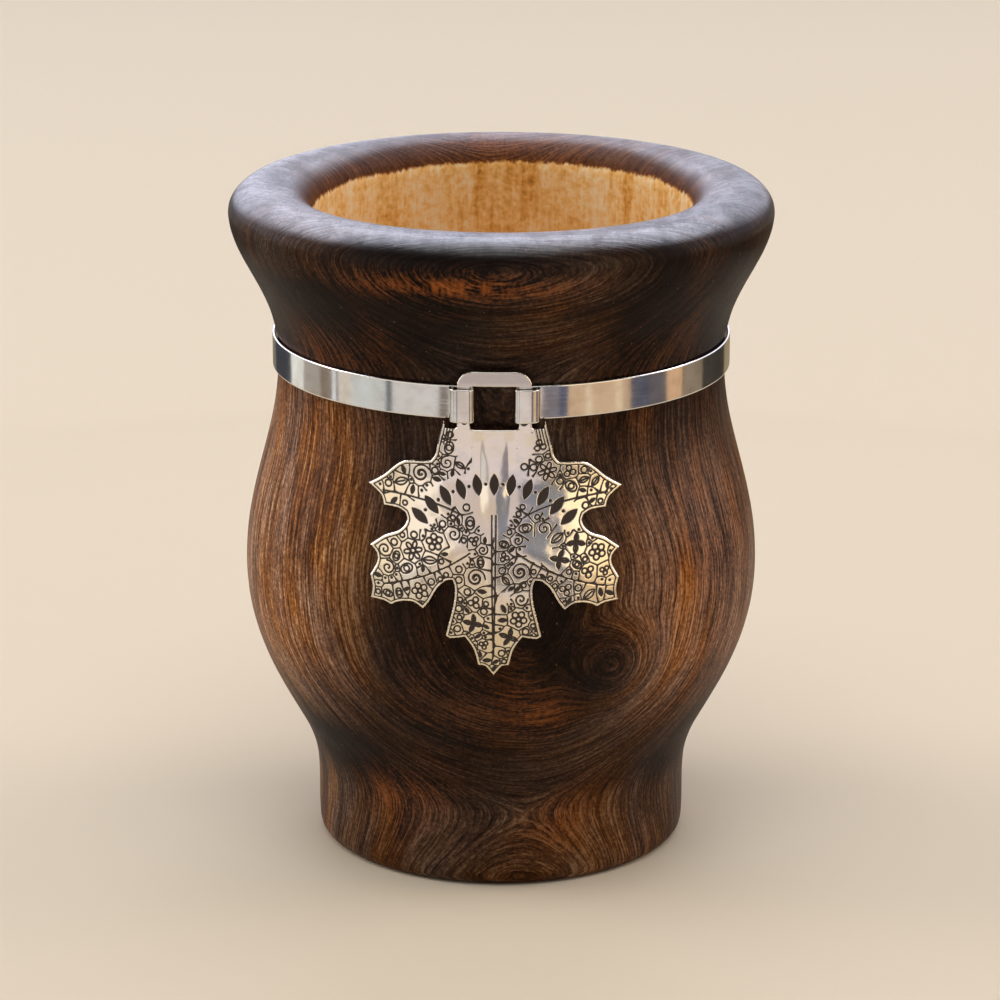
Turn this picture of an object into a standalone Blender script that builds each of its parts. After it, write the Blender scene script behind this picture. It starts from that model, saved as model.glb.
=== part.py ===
"""A wooden mate cup: a turned wooden body, a metal band round its waist, and a leaf badge whose
frame hangs in the band's two rolled ends.

Metres, +Z up. The origin is the middle of the foot's flat face, and the badge faces -Y.
"""

import math

import bmesh
import bpy
from mathutils import Vector
from mathutils.geometry import delaunay_2d_cdt

# Outside of the turned body: a foot, a belly, a waist and a flared rim, each a height and a radius
FOOT_RADIUS = 0.0287
FOOT_EDGE_ROUND = 0.0020
COVE_HEIGHT = 0.0159
COVE_RADIUS = 0.0299
BELLY_HEIGHT = 0.0446
BELLY_RADIUS = 0.03995
WAIST_HEIGHT = 0.0766
WAIST_RADIUS = 0.0346
RIM_HEIGHT = 0.1005
RIM_RADIUS = 0.0419
# How early each stretch of the outside swings out: under 1 is early, over 1 is late
BELLY_SWING = 0.656
SHOULDER_SWING = 1.044
FLARE_SWING = 1.33

# Lip: rounded over outside, nearly flat on top, and turning ever steeper into the throat
LIP_TOP_HEIGHT = 0.1045
LIP_CREST_RADIUS = 0.0375
LIP_OUTER_ROUNDNESS = 1.8
LIP_INNER_ROUNDNESS = 2.45
THROAT_RADIUS = 0.0291
THROAT_FALL = 0.0051

# Cavity
CAVITY_FLOOR_RADIUS = 0.0278
CAVITY_DEPTH = 0.0780
CAVITY_CORNER = 0.0160

# Band and its shallow turned seat
CLEARANCE = 0.0003
SEAT_RISE = 0.00005
BAND_CENTRE_HEIGHT = 0.0789
BAND_WIDTH = 0.0051
BAND_THICKNESS = 0.00045

# Rolled eyes at the band's ends. The roll closes over the last share of the eye's outer half.
EYE_INNER_OFFSET = 0.0028
EYE_SPAN = 0.0041
EYE_TURN_REACH = 0.0009
EYE_CLOSING_START = 0.45
EYE_CLOSING_ROUNDNESS = 0.8

# Badge plate, its frame and the way it stands off the wood
PLATE_THICKNESS = 0.0008
LEG_PLAY = 0.00065
LEG_SIDE_PLAY = 0.00033
LEG_WIDTH = 0.00195
BAR_HEIGHT = 0.0023
BAR_CORNER_RADIUS = 0.0024
WINDOW_CORNER_RADIUS = 0.0005
BADGE_LIFT = 0.0008
BELLY_STANDOFF = 0.0004
STANDOFF_BLEND = 0.0003
EAR_RISE = 0.0012
EAR_LEAN = 0.00026
LEAF_HALF_WIDTH = 0.01875
LEAF_LENGTH = 0.03675

# Pressed midrib and flutes, which fade out over shares of the leaf's and of their own length
RIB_HEIGHT = 0.00030
RIB_HALF_WIDTH = 0.0014
FLUTE_HEIGHT = 0.00022
FLUTE_HALF_WIDTH = 0.0016
RELIEF_MARGIN_SHARE = 0.02
RELIEF_TOP_SHARE = 0.15
RELIEF_TIP_SHARE = 0.25
FLUTE_FADE_SHARE = 0.3

# Mesh fineness
TURNED_SEGMENTS = 64
OUTSIDE_STEPS = 11
ROUNDING_STEPS = 4
LIP_OUTER_STEPS = 7
LIP_INNER_STEPS = 8
CAVITY_WALL_STEPS = 4
CAVITY_CORNER_STEPS = 6
BAND_ARC_STEP = math.radians(5)
EYE_CLOSING_STEPS = 5
EYE_TURN_STEPS = 8
PLATE_GRID = 0.0015
PLATE_EDGE_MARGIN = 0.0006
EDGE_STEP = 0.0009
SHARP_ANGLE = math.radians(35)

# Half of the leaf's edge as (across, down, corner): shares of the leaf's half width and length,
# measured from the middle of the window's lower edge. A corner is sharp, other points are smooth.
LEAF_EDGE = (
    # Below the ear beside the eye
    (0.437, 0.040, False),
    (0.467, 0.112, False),
    (0.500, 0.137, False),
    # Upper lobe
    (0.600, 0.143, False),
    (0.710, 0.149, False),
    (0.785, 0.174, False),
    (0.880, 0.219, False),
    (1.000, 0.260, True),
    (0.903, 0.298, False),
    (0.878, 0.337, True),
    (0.763, 0.340, False),
    (0.704, 0.355, False),
    # Inlet and middle lobe
    (0.690, 0.380, False),
    (0.709, 0.405, False),
    (0.768, 0.432, False),
    (0.870, 0.454, False),
    (0.986, 0.498, True),
    (0.934, 0.525, False),
    (0.930, 0.563, False),
    (0.984, 0.616, True),
    (0.965, 0.663, False),
    (0.979, 0.708, True),
    (0.867, 0.714, False),
    (0.815, 0.726, True),
    (0.749, 0.709, False),
    (0.640, 0.704, False),
    (0.559, 0.728, True),
    (0.505, 0.693, False),
    (0.444, 0.639, False),
    # Deep inlet beside the tip lobe
    (0.369, 0.606, False),
    (0.326, 0.604, False),
    (0.306, 0.643, False),
    (0.319, 0.708, False),
    (0.355, 0.783, False),
    # Tip lobe
    (0.378, 0.832, True),
    (0.350, 0.842, False),
    (0.293, 0.840, False),
    (0.227, 0.834, True),
    (0.159, 0.884, False),
    (0.121, 0.955, True),
    (0.068, 0.958, False),
    (0.000, 1.000, True),
)
# Ends of the flutes that run out into the lobes, in the same shares
FLUTE_TIPS = ((0.80, 0.25), (0.82, 0.62))
FLUTE_ROOT_DOWN = 0.42

SEAT_RADIUS = WAIST_RADIUS + SEAT_RISE
BAND_INNER_RADIUS = SEAT_RADIUS + CLEARANCE
BAND_OUTER_RADIUS = BAND_INNER_RADIUS + BAND_THICKNESS
BAND_BOTTOM = BAND_CENTRE_HEIGHT - BAND_WIDTH / 2
BAND_TOP = BAND_CENTRE_HEIGHT + BAND_WIDTH / 2
LEG_INNER_OFFSET = EYE_INNER_OFFSET + BAND_THICKNESS + LEG_SIDE_PLAY
LEG_OUTER_OFFSET = LEG_INNER_OFFSET + LEG_WIDTH
WINDOW_TOP = BAND_TOP + CLEARANCE
WINDOW_BOTTOM = BAND_BOTTOM - CLEARANCE - BADGE_LIFT
NOTCH_REACH = EYE_INNER_OFFSET + EYE_SPAN + CLEARANCE
BAR_TOP = WINDOW_TOP + BAR_HEIGHT
CAVITY_FLOOR_HEIGHT = LIP_TOP_HEIGHT - CAVITY_DEPTH


def clear_scene():
    for leftover in list(bpy.data.objects):
        bpy.data.objects.remove(leftover, do_unlink=True)


def finish_material(name, colour, roughness, metallic):
    material = bpy.data.materials.new(name)
    material.use_nodes = True
    shader = material.node_tree.nodes["Principled BSDF"]
    shader.inputs["Base Color"].default_value = (*colour, 1.0)
    shader.inputs["Roughness"].default_value = roughness
    shader.inputs["Metallic"].default_value = metallic
    material.diffuse_color = (*colour, 1.0)
    return material


def place_piece(name, shape, material, origin=(0.0, 0.0, 0.0)):
    """Make an object of a bmesh in world places, with the object's origin where it is asked."""
    bmesh.ops.translate(shape, verts=shape.verts[:], vec=-Vector(origin))
    mesh = bpy.data.meshes.new(name)
    shape.to_mesh(mesh)
    shape.free()
    mesh.materials.append(material)
    mesh.shade_smooth()
    mesh.set_sharp_from_angle(angle=SHARP_ANGLE)
    piece = bpy.data.objects.new(name, mesh)
    piece.location = origin
    bpy.context.collection.objects.link(piece)
    return piece


def swing(share, lateness):
    """Half a wave from 0 to 1, swung early or late by its exponent."""
    return 0.5 - 0.5 * math.cos(math.pi * min(max(share, 0.0), 1.0) ** lateness)


def outside_radius(height):
    """Radius of the turned outside, before the band's seat is cut."""
    if height <= COVE_HEIGHT:
        return FOOT_RADIUS + (COVE_RADIUS - FOOT_RADIUS) * height / COVE_HEIGHT
    stretches = (
        (COVE_HEIGHT, COVE_RADIUS, BELLY_HEIGHT, BELLY_RADIUS, BELLY_SWING),
        (BELLY_HEIGHT, BELLY_RADIUS, WAIST_HEIGHT, WAIST_RADIUS, SHOULDER_SWING),
        (WAIST_HEIGHT, WAIST_RADIUS, RIM_HEIGHT, RIM_RADIUS, FLARE_SWING),
    )
    for low, low_radius, high, high_radius, lateness in stretches:
        if height <= high:
            share = (height - low) / (high - low)
            return low_radius + (high_radius - low_radius) * swing(share, lateness)
    return RIM_RADIUS


# The frame clears the band in front of it and, when the badge is lifted, the flare behind it
LEG_BACK_RADIUS = max(BAND_OUTER_RADIUS + LEG_PLAY, outside_radius(BAR_TOP + BADGE_LIFT) + CLEARANCE)
LEG_FRONT_RADIUS = LEG_BACK_RADIUS + PLATE_THICKNESS
EYE_OUTER_RADIUS = LEG_FRONT_RADIUS + LEG_PLAY + BAND_THICKNESS


def between(low, high, steps):
    return [low + (high - low) * step / steps for step in range(steps + 1)]


def outside_points():
    """Foot to rim, with the band's seat cut as a shallow groove."""
    seat_low = BAND_BOTTOM - CLEARANCE
    seat_high = BAND_TOP + CLEARANCE
    points = []
    edge_radius = outside_radius(FOOT_EDGE_ROUND)
    for angle in between(-math.pi / 2, 0.0, ROUNDING_STEPS):
        points.append((edge_radius - FOOT_EDGE_ROUND * (1 - math.cos(angle)),
                       FOOT_EDGE_ROUND * (1 + math.sin(angle))))
    for height in between(COVE_HEIGHT, BELLY_HEIGHT, OUTSIDE_STEPS):
        points.append((outside_radius(height), height))
    for height in between(BELLY_HEIGHT, seat_low, OUTSIDE_STEPS)[1:]:
        points.append((outside_radius(height), height))
    points.append((min(SEAT_RADIUS, outside_radius(seat_low)), seat_low))
    points.append((min(SEAT_RADIUS, outside_radius(seat_high)), seat_high))
    for height in between(seat_high, RIM_HEIGHT, OUTSIDE_STEPS):
        points.append((outside_radius(height), height))
    return points


def lip_points():
    """Rounded outer edge, then the top as it falls inwards and turns into the throat."""
    points = []
    for angle in between(0.0, math.pi / 2, LIP_OUTER_STEPS)[1:]:
        across = max(0.0, math.cos(angle)) ** (2 / LIP_OUTER_ROUNDNESS)
        up = math.sin(angle) ** (2 / LIP_OUTER_ROUNDNESS)
        points.append((LIP_CREST_RADIUS + (RIM_RADIUS - LIP_CREST_RADIUS) * across,
                       RIM_HEIGHT + (LIP_TOP_HEIGHT - RIM_HEIGHT) * up))
    for angle in between(0.0, math.pi / 2, LIP_INNER_STEPS)[1:]:
        across = math.sin(angle) ** (2 / LIP_INNER_ROUNDNESS)
        up = max(0.0, math.cos(angle)) ** (2 / LIP_INNER_ROUNDNESS)
        points.append((LIP_CREST_RADIUS - (LIP_CREST_RADIUS - THROAT_RADIUS) * across,
                       LIP_TOP_HEIGHT - THROAT_FALL * (1 - up)))
    return points


def cavity_points():
    """Throat down a slightly narrowing wall to a rounded corner and the flat floor's middle."""
    corner = min(CAVITY_CORNER, CAVITY_FLOOR_RADIUS)
    corner_top = CAVITY_FLOOR_HEIGHT + corner
    wall_top = LIP_TOP_HEIGHT - THROAT_FALL
    points = []
    for share in between(0.0, 1.0, CAVITY_WALL_STEPS)[1:]:
        points.append((THROAT_RADIUS + (CAVITY_FLOOR_RADIUS - THROAT_RADIUS) * share,
                       wall_top + (corner_top - wall_top) * share))
    for angle in between(0.0, math.pi / 2, CAVITY_CORNER_STEPS)[1:]:
        points.append((CAVITY_FLOOR_RADIUS - corner * (1 - math.cos(angle)),
                       corner_top - corner * math.sin(angle)))
    points.append((0.0, CAVITY_FLOOR_HEIGHT))
    return points


def build_wooden_body():
    shape = bmesh.new()
    profile = [(0.0, 0.0)] + outside_points() + lip_points() + cavity_points()
    corners = [shape.verts.new((radius, 0.0, height)) for radius, height in profile]
    edges = [shape.edges.new(pair) for pair in zip(corners, corners[1:])]
    bmesh.ops.spin(shape, geom=corners + edges, cent=(0, 0, 0), axis=(0, 0, 1),
                   angle=math.tau, steps=TURNED_SEGMENTS, use_merge=True)
    bmesh.ops.remove_doubles(shape, verts=shape.verts[:], dist=1e-6)
    bmesh.ops.recalc_face_normals(shape, faces=shape.faces[:])
    wood = finish_material("stained_wood", (0.070, 0.030, 0.015), 0.42, 0.0)
    return place_piece("wooden_body", shape, wood)


def front_angle(across):
    """Angle round the axis from -Y of a point that lies this far across on the legs' front."""
    return math.asin(max(-1.0, min(1.0, across / LEG_FRONT_RADIUS)))


def eye_path():
    """Middle line of the right-hand eye in plan, as (across, radius), from its free end inwards."""
    half = BAND_THICKNESS / 2
    back = BAND_OUTER_RADIUS - half
    front = EYE_OUTER_RADIUS - half
    middle = (back + front) / 2
    reach = (front - back) / 2
    turn_centre = EYE_INNER_OFFSET + half + EYE_TURN_REACH
    outer_end = EYE_INNER_OFFSET + EYE_SPAN - half
    closing_depth = front - (BAND_OUTER_RADIUS + CLEARANCE + half)
    closing_start = turn_centre + (outer_end - turn_centre) * EYE_CLOSING_START
    path = []
    for angle in between(0.0, math.pi / 2, EYE_CLOSING_STEPS):
        reached = max(0.0, math.cos(angle)) ** EYE_CLOSING_ROUNDNESS
        path.append((closing_start + (outer_end - closing_start) * reached,
                     front - closing_depth * (1 - math.sin(angle))))
    for angle in between(math.pi / 2, 3 * math.pi / 2, EYE_TURN_STEPS):
        path.append((turn_centre + EYE_TURN_REACH * math.cos(angle), middle + reach * math.sin(angle)))
    return path


def build_neck_band():
    """The strip in plan, from the right-hand eye round the back to the left-hand eye."""
    eye = [(front_angle(across), radius) for across, radius in eye_path()]
    back_radius = eye[-1][1]
    start = eye[-1][0]
    steps = round((math.tau - 2 * start) / BAND_ARC_STEP)
    arc = [(angle, back_radius) for angle in between(start, math.tau - start, steps)[1:-1]]
    mirrored = [(math.tau - angle, radius) for angle, radius in reversed(eye)]
    line = [Vector((radius * math.sin(angle), -radius * math.cos(angle)))
            for angle, radius in eye + arc + mirrored]
    sides = ([], [])
    for index, point in enumerate(line):
        ahead = line[min(index + 1, len(line) - 1)] - point
        behind = point - line[max(index - 1, 0)]
        along = (ahead.normalized() + behind.normalized()).normalized()
        across = Vector((-along.y, along.x)) * (BAND_THICKNESS / 2)
        sides[0].append(point + across)
        sides[1].append(point - across)
    shape = bmesh.new()
    rows = [[shape.verts.new((spot.x, spot.y, BAND_BOTTOM)) for spot in side] for side in sides]
    faces = []
    for index in range(len(line) - 1):
        faces.append(shape.faces.new((rows[0][index], rows[0][index + 1],
                                      rows[1][index + 1], rows[1][index])))
    grown = bmesh.ops.extrude_face_region(shape, geom=faces)
    risen = [item for item in grown["geom"] if isinstance(item, bmesh.types.BMVert)]
    bmesh.ops.translate(shape, verts=risen, vec=(0, 0, BAND_WIDTH))
    bmesh.ops.recalc_face_normals(shape, faces=shape.faces[:])
    metal = finish_material("band_metal", (0.62, 0.60, 0.58), 0.12, 1.0)
    return place_piece("neck_band", shape, metal)


def plate_back_radius(height):
    """Back of the plate: straight down behind the eyes, then following the belly."""
    over_wood = outside_radius(height) + BELLY_STANDOFF
    gap = LEG_BACK_RADIUS - over_wood
    return (LEG_BACK_RADIUS + over_wood + math.hypot(gap, STANDOFF_BLEND)) / 2


def plate_relief(across, height):
    """Pressed midrib and flutes, which fade out towards the frame and the tip."""
    down = (WINDOW_BOTTOM - height) / LEAF_LENGTH
    fade = (swing((down - RELIEF_MARGIN_SHARE) / RELIEF_TOP_SHARE, 1.0)
            * swing((1 - RELIEF_MARGIN_SHARE - down) / RELIEF_TIP_SHARE, 1.0))
    rise = RIB_HEIGHT * math.exp(-((across / RIB_HALF_WIDTH) ** 2))
    root = Vector((0.0, FLUTE_ROOT_DOWN * LEAF_LENGTH))
    here = Vector((abs(across), down * LEAF_LENGTH))
    for tip_across, tip_down in FLUTE_TIPS:
        tip = Vector((tip_across * LEAF_HALF_WIDTH, tip_down * LEAF_LENGTH))
        along = (tip - root).normalized()
        run = (here - root).dot(along)
        aside = abs((here - root).cross(along))
        share = run / (tip - root).length
        rise += (FLUTE_HEIGHT * math.exp(-((aside / FLUTE_HALF_WIDTH) ** 2))
                 * swing(share / FLUTE_FADE_SHARE, 1.0) * swing((1 - share) / FLUTE_FADE_SHARE, 1.0))
    return rise * fade


def plate_point(across, height):
    """A point of the plate's front, from its place across and its height."""
    radius = plate_back_radius(height) + PLATE_THICKNESS + plate_relief(across, height)
    angle = math.asin(max(-1.0, min(1.0, across / radius)))
    return (radius * math.sin(angle), -radius * math.cos(angle), height)


def smooth_run(points, step):
    """Points along a Catmull-Rom curve through a run of points, about one step apart."""
    padded = [points[0]] + list(points) + [points[-1]]
    run = []
    for before, start, end, after in zip(padded, padded[1:], padded[2:], padded[3:]):
        pieces = max(1, round((end - start).length / step))
        for piece in range(pieces):
            t = piece / pieces
            run.append(0.5 * (2 * start + (end - before) * t
                              + (2 * before - 5 * start + 4 * end - after) * t ** 2
                              + (3 * start - before - 3 * end + after) * t ** 3))
    return run + [points[-1]]


def straight_run(start, end, step):
    pieces = max(1, round((end - start).length / step))
    return [start.lerp(end, share) for share in between(0.0, 1.0, pieces)]


def corner_run(centre, radius, first, last):
    return [centre + radius * Vector((math.cos(angle), math.sin(angle)))
            for angle in between(first, last, ROUNDING_STEPS)]


def leaf_edge_run():
    """Right half of the leaf's edge from the ear down to the tip, corner to corner."""
    run = []
    stretch = [Vector((NOTCH_REACH + EAR_LEAN, WINDOW_BOTTOM + EAR_RISE))]
    for across, down, corner in LEAF_EDGE:
        stretch.append(Vector((across * LEAF_HALF_WIDTH, WINDOW_BOTTOM - down * LEAF_LENGTH)))
        if corner:
            run += smooth_run(stretch, EDGE_STEP)[(1 if run else 0):]
            stretch = [stretch[-1]]
    return run


def half_plate_outline():
    """Closed outline of the plate's right half: its bar, leg, notch and leaf, then its window."""
    window_low = Vector((0.0, WINDOW_BOTTOM))
    window_high = Vector((0.0, WINDOW_TOP))
    bar_turn = Vector((LEG_OUTER_OFFSET - BAR_CORNER_RADIUS, BAR_TOP - BAR_CORNER_RADIUS))
    notch_start = Vector((LEG_OUTER_OFFSET + CLEARANCE, WINDOW_BOTTOM))
    outline = straight_run(Vector((0.0, BAR_TOP)), Vector((bar_turn.x, BAR_TOP)), EDGE_STEP)
    outline += corner_run(bar_turn, BAR_CORNER_RADIUS, math.pi / 2, 0.0)[1:]
    outline += straight_run(outline[-1], Vector((LEG_OUTER_OFFSET, WINDOW_BOTTOM + CLEARANCE)),
                            EDGE_STEP)[1:]
    outline += straight_run(notch_start, Vector((NOTCH_REACH, WINDOW_BOTTOM)), EDGE_STEP)
    outline += leaf_edge_run()
    outline += straight_run(outline[-1], window_low, PLATE_GRID)[1:]
    inner = LEG_INNER_OFFSET - WINDOW_CORNER_RADIUS
    lower_corner = Vector((inner, WINDOW_BOTTOM + WINDOW_CORNER_RADIUS))
    upper_corner = Vector((inner, WINDOW_TOP - WINDOW_CORNER_RADIUS))
    outline += straight_run(window_low, Vector((inner, WINDOW_BOTTOM)), EDGE_STEP)[1:]
    outline += corner_run(lower_corner, WINDOW_CORNER_RADIUS, -math.pi / 2, 0.0)[1:]
    outline += straight_run(outline[-1], Vector((LEG_INNER_OFFSET, upper_corner.y)), EDGE_STEP)[1:]
    outline += corner_run(upper_corner, WINDOW_CORNER_RADIUS, 0.0, math.pi / 2)[1:]
    outline += straight_run(outline[-1], window_high, EDGE_STEP)[1:]
    return outline + straight_run(window_high, Vector((0.0, BAR_TOP)), EDGE_STEP)[1:-1]


def inside_outline(point, outline):
    inside = False
    for start, end in zip(outline, outline[1:] + outline[:1]):
        if (start.y > point.y) != (end.y > point.y):
            crossing = start.x + (point.y - start.y) / (end.y - start.y) * (end.x - start.x)
            inside ^= point.x < crossing
    return inside


def edge_distance(point, outline):
    nearest = math.inf
    for start, end in zip(outline, outline[1:] + outline[:1]):
        along = end - start
        share = max(0.0, min(1.0, (point - start).dot(along) / along.length_squared))
        nearest = min(nearest, (point - start.lerp(end, share)).length)
    return nearest


def filling_points(outline):
    """Evenly spread points inside the outline, kept away from its edge."""
    lowest = min(point.y for point in outline)
    highest = max(point.y for point in outline)
    widest = max(point.x for point in outline)
    points = []
    for row in range(1, round((highest - lowest) / PLATE_GRID)):
        shift = 0.5 if row % 2 else 1.0
        for column in range(round(widest / PLATE_GRID)):
            point = Vector(((column + shift) * PLATE_GRID, lowest + row * PLATE_GRID))
            if inside_outline(point, outline) and edge_distance(point, outline) > PLATE_EDGE_MARGIN:
                points.append(point)
    return points


def build_leaf_badge():
    """Half of the front is drawn flat, bent onto the belly, mirrored and thickened inwards."""
    outline = half_plate_outline()
    flat = outline + filling_points(outline)
    rim = [(index, (index + 1) % len(outline)) for index in range(len(outline))]
    spots, _, triangles, *_ = delaunay_2d_cdt(flat, rim, [], 1, 1e-9)
    shape = bmesh.new()
    corners = [shape.verts.new(plate_point(spot.x, spot.y)) for spot in spots]
    for triangle in triangles:
        shape.faces.new([corners[index] for index in triangle])
    loose = [corner for corner in corners if not corner.link_faces]
    bmesh.ops.delete(shape, geom=loose, context="VERTS")
    bmesh.ops.recalc_face_normals(shape, faces=shape.faces[:])
    if sum(face.normal.y * face.calc_area() for face in shape.faces) > 0:
        bmesh.ops.reverse_faces(shape, faces=shape.faces[:])
    metal = finish_material("badge_metal", (0.60, 0.56, 0.50), 0.18, 1.0)
    lift_axis = (0.0, -LEG_FRONT_RADIUS, WINDOW_TOP)
    badge = place_piece("leaf_badge", shape, metal, lift_axis)
    mirror = badge.modifiers.new("other half", "MIRROR")
    mirror.use_axis[0] = True
    mirror.merge_threshold = 0.00005
    sheet = badge.modifiers.new("sheet", "SOLIDIFY")
    sheet.thickness = PLATE_THICKNESS
    sheet.offset = -1.0
    return badge


clear_scene()
build_wooden_body()
build_neck_band()
build_leaf_badge()
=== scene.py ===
"""The looks of a wooden mate cup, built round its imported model.

A turned cup of stained and lacquered wood, the polished strip round its waist, and the engraved
leaf badge whose frame hangs in the strip's two rolled eyes. Metres, +Z up, with the badge facing -Y.
Names that end in _MM are millimetres, as are the sizes of grain, engraving and other patterns.
"""

import math
import random
from functools import partial

import bmesh
import bpy
import numpy as np
from mathutils import Euler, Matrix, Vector, kdtree
from mathutils.geometry import delaunay_2d_cdt


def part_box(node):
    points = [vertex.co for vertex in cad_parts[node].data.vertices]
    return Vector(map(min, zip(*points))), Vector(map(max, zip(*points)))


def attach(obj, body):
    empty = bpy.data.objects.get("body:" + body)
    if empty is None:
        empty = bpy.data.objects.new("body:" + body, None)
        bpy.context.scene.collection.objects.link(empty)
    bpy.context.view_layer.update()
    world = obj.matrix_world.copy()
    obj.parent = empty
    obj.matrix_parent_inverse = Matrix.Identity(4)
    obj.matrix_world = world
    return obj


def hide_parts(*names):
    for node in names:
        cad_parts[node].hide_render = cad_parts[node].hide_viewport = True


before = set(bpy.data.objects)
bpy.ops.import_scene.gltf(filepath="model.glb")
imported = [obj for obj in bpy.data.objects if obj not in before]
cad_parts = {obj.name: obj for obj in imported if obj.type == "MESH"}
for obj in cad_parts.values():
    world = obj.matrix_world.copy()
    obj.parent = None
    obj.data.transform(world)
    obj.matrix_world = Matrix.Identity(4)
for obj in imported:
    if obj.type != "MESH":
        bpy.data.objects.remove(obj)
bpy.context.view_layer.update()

# Camera, matched to the photograph's frame
PHOTO_PIXELS = 1000
FOCAL_PIXELS = 4005
SENSOR_MM = 36
CAMERA_DISTANCE = 0.6018
CAMERA_HEIGHT = 0.2346
CAMERA_AZIMUTH = math.radians(1.55)
CAMERA_PITCH = math.radians(16.75)
CAMERA_ROLL = math.radians(0.046)
CUP_AXIS_PIXEL = 501.13

# Mesh fineness
SAME_PLACE = 0.000002
CORNER_ANGLE = math.radians(42)
STRAIGHT_SHARE = 15
PROFILE_STEP = 0.0006
TURNED_SEGMENTS = 128
OUTLINE_STEP = 0.00013
FRONT_SPACING = 0.000118
BACK_SPACING = 0.0015
TURNED_SHARP, STRIP_SHARP, BADGE_SHARP = (math.radians(angle) for angle in (32, 60, 62))

# Grain of the turned blank: its pith lies behind the cup, and bends away from it below the cove
# and above the belly
PITH_BEHIND_MM = 62
PITH_ASIDE_MM = -5
FOOT_BEND_MM, COVE_HEIGHT_MM, UNDER_FOOT_MM = 5.0, 14, -16
UPPER_BEND_MM, BEND_START_MM, BEND_END_MM = 5.0, 40, 78
RING_WAVE_MM = 4
SWIRL_PLACE_MM = (19.0, -34.6, 37.5)
SWIRL_REACH_MM = 11
SWIRL_RISE_MM = 3.4

# Stain and polish: the lip and the cavity's wall lie within these reaches and above these heights
STAIN_EDGE_MM = 100.6
LIP_REACH_MM, LIP_FOOT_MM = 37, 92
WALL_REACH_MM, FLOOR_FOOT_MM = 30, 26
POLISH_INNER_MM, POLISH_BACK_STEP_MM = 29.6, 2.6
FAINT_SHINE = 0.14
# Soft patches: strength, height and its reach in mm, degrees from the badge's side and their reach
TONE_PATCHES = ((0.14, 97, 4, 0, 32), (-0.25, 36, 6, 27, 9))
THIN_STAIN_PATCHES = (
    (1.20, 97.6, 1.8, -8, 22), (0.35, 83, 5, -46, 20), (0.175, 83, 5, 40, 16), (0.60, 14, 5, -28, 14),
    (0.60, 10, 4, 20, 10), (0.25, 31, 6, -8, 16), (0.50, 31, 4, 10, 7), (0.50, 52, 18, 54, 22))

# Strip round the waist, and the eyes that its ends are rolled into
STRIP_THICKNESS = 0.00045
STRIP_EDGE_ROUND = 0.00016
STRIP_SECTION_STEP = 0.0001
EYE_INNER_OFFSET = 0.0028
EYE_SPAN = 0.0041
EYE_TURN_REACH = 0.0009
EYE_CLOSING_START = 0.45
EYE_CLOSING_ROUNDNESS = 0.8
RUNNING_GAP = 0.0003
ARC_STEP = math.radians(1.5)

# Badge plate and its pressed form
PLATE_THICKNESS = 0.0008
PLATE_EDGE_ROUND = 0.00016
BELLY_STANDOFF = 0.0004
STANDOFF_BLEND = 0.0003
LEAF_HALF_WIDTH = 0.01875
LEAF_LENGTH = 0.03675
RIB_HEIGHT = 0.00030
RIB_HALF_WIDTH = 0.0014
FLUTE_HEIGHT = 0.00022
FLUTE_HALF_WIDTH = 0.0016
FLUTE_TIPS = ((0.80, 0.25), (0.82, 0.62))
FLUTE_ROOT_DOWN = 0.42
# Shares of the leaf's and a flute's length over which the pressing rises and falls off again
LEAF_RISES, LEAF_FALLS = (0.02, 0.17), (-0.98, -0.73)
FLUTE_RISES, FLUTE_FALLS = (0, 0.3), (-1, -0.7)
CHANNEL_OFFSET = 0.00225
CHANNEL_HALF_WIDTH = 0.0007
CHANNEL_DEPTH = 0.00014
CHANNEL_LENGTH = 0.0165

# Engraving, in millimetres across and down from the middle of the window's lower edge
CUT_DEPTH = 0.00007
CUT_HALF_MM = 0.13
FINE_CUT_HALF_MM = 0.095
CUT_SAMPLE_MM = 0.04
NOWHERE_NEAR_MM = 5.0
VEIN_ROOT_MM = (0.0, 15.4)
VEIN_ROOM_MM = 0.30
# Each vein: its tip, how far it bows and the share of its way at which it starts
VEINS_MM = (((16.6, 10.2), -1.4, 0.30), ((-16.6, 10.2), 1.4, 0.30),
            ((16.2, 23.6), 1.2, 0.24), ((-16.2, 23.6), -1.2, 0.24))
MIDRIB_HALF_MM, MIDRIB_TOP_MM, MIDRIB_END_MM = 0.30, 12.6, 33.5
ARCH_RADIUS_MM = 14.4
ARCH_TOP_MM = 8.1
ARCH_REACH = 0.87
ARCH_LEAFLETS = 11
ARCH_ROOM_MM = 1.95
LEAFLET_HALF_LENGTH_MM = 1.65
LEAFLET_HALF_WIDTH_MM = 0.70
DOT_RADIUS_MM = 0.26
# Places left plain: across, down and radius
BARE_SPOTS_MM = (*((0, down, 3.3) for down in range(12)), (0, 12, 2.2), (0, 13.5, 2.2),
                 *((across, down, 1.2) for across in (-4.4, 4.4) for down in (0.8, 2.0, 3.4)),
                 (6.6, 17.6, 1.9), (-5.2, 18.2, 1.5), (1.6, 24.5, 0.9))
# Ornaments: radius, and how many random spots are tried for it
ORNAMENTS_MM = ((1.45, 500), (1.05, 1400), (0.80, 2400), (0.60, 3200), (0.44, 4200), (0.28, 3600))
ENGRAVING_SEED = 11
ENGRAVED_ACROSS_MM, ENGRAVED_DOWN_MM = (-19, 19), (-1.3, 37)
OFF_PLATE_MM = 0.2
ORNAMENT_MARGIN_MM = 0.28
CELL_GAP_MM, CELLS_TOP_MM, NO_DISC_MM = 0.08, -1.5, 9.0
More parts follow.
